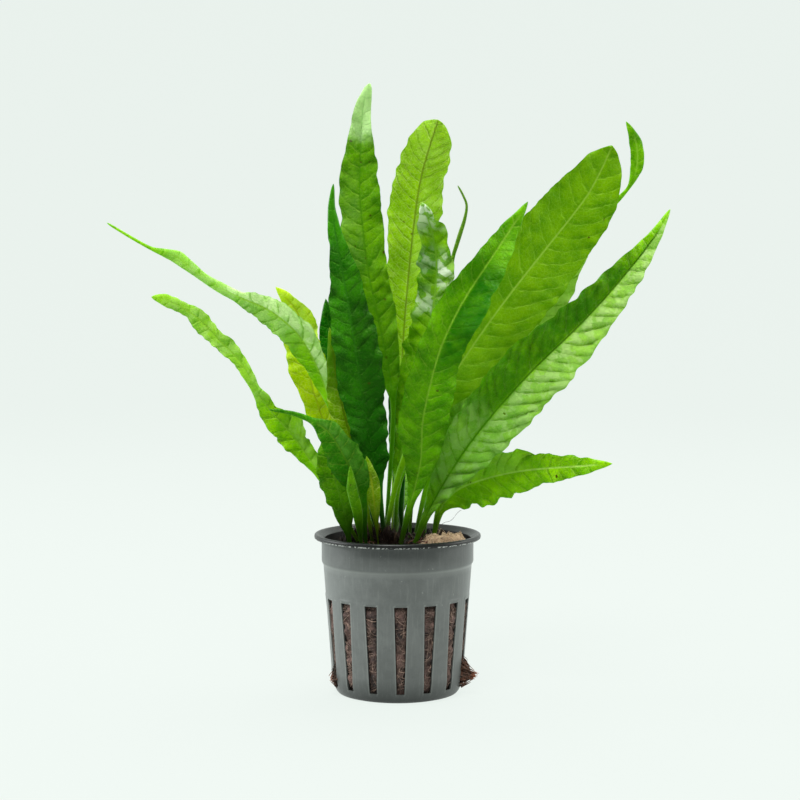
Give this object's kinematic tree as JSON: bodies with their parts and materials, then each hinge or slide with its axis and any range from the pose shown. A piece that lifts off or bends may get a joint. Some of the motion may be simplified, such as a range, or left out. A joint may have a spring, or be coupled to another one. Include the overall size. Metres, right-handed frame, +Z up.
{
  "type": "potted fern",
  "caption": "Strap-leaved aquarium fern with crinkled green fronds, rooted in a rock wool plug in a grey slotted net pot.",
  "frame": {"origin": "centre of the flat underside of the net pot", "axes": "+Z up, -Y towards the front, +X to the right as seen from the front"},
  "size_m": [0.1805, 0.0766, 0.1997],
  "materials": {
    "pot_plastic": "satin moulded grey, dusty and scuffed",
    "frond_light": "thin leaf, light green, wet gloss",
    "frond_mid": "thin leaf, mid green, wet gloss",
    "frond_dark": "thin leaf, dark green, satin",
    "frond_yellow": "thin leaf, yellow green, satin",
    "rock_wool": "matted mineral fibre, stained brown by roots",
    "rhizome_bark": "dark creeping stem covered in fine hairs",
    "old_stalk": "dry brown stalk",
    "root": "matted brown roots"
  },
  "bodies": {
    "root": {"net_pot": "pot_plastic", "rock_wool": "rock_wool", "rhizome": "rhizome_bark", "tall_frond": "frond_mid", "dark_frond": "frond_dark", "blunt_frond": "frond_light", "centre_frond": "frond_light", "whip_frond": "frond_mid", "front_frond": "frond_light", "broad_frond": "frond_light", "lobed_frond": "frond_mid", "crinkled_frond": "frond_light", "low_right_frond": "frond_light", "long_left_frond": "frond_light", "low_left_frond": "frond_light", "yellow_frond": "frond_yellow", "shaded_frond": "frond_dark", "strip_frond": "frond_yellow", "grey_frond": "frond_mid", "frilled_frond": "frond_mid", "slip_frond": "frond_mid", "gold_frond": "frond_yellow", "inner_frond": "frond_dark", "back_right_frond": "frond_mid", "back_left_frond": "frond_mid", "back_low_frond": "frond_light", "back_short_frond": "frond_light", "old_stalk": "old_stalk", "bare_stalk": "frond_yellow", "root_tuft_right": "root", "root_tuft_left": "root"}
  },
  "joints": []
}
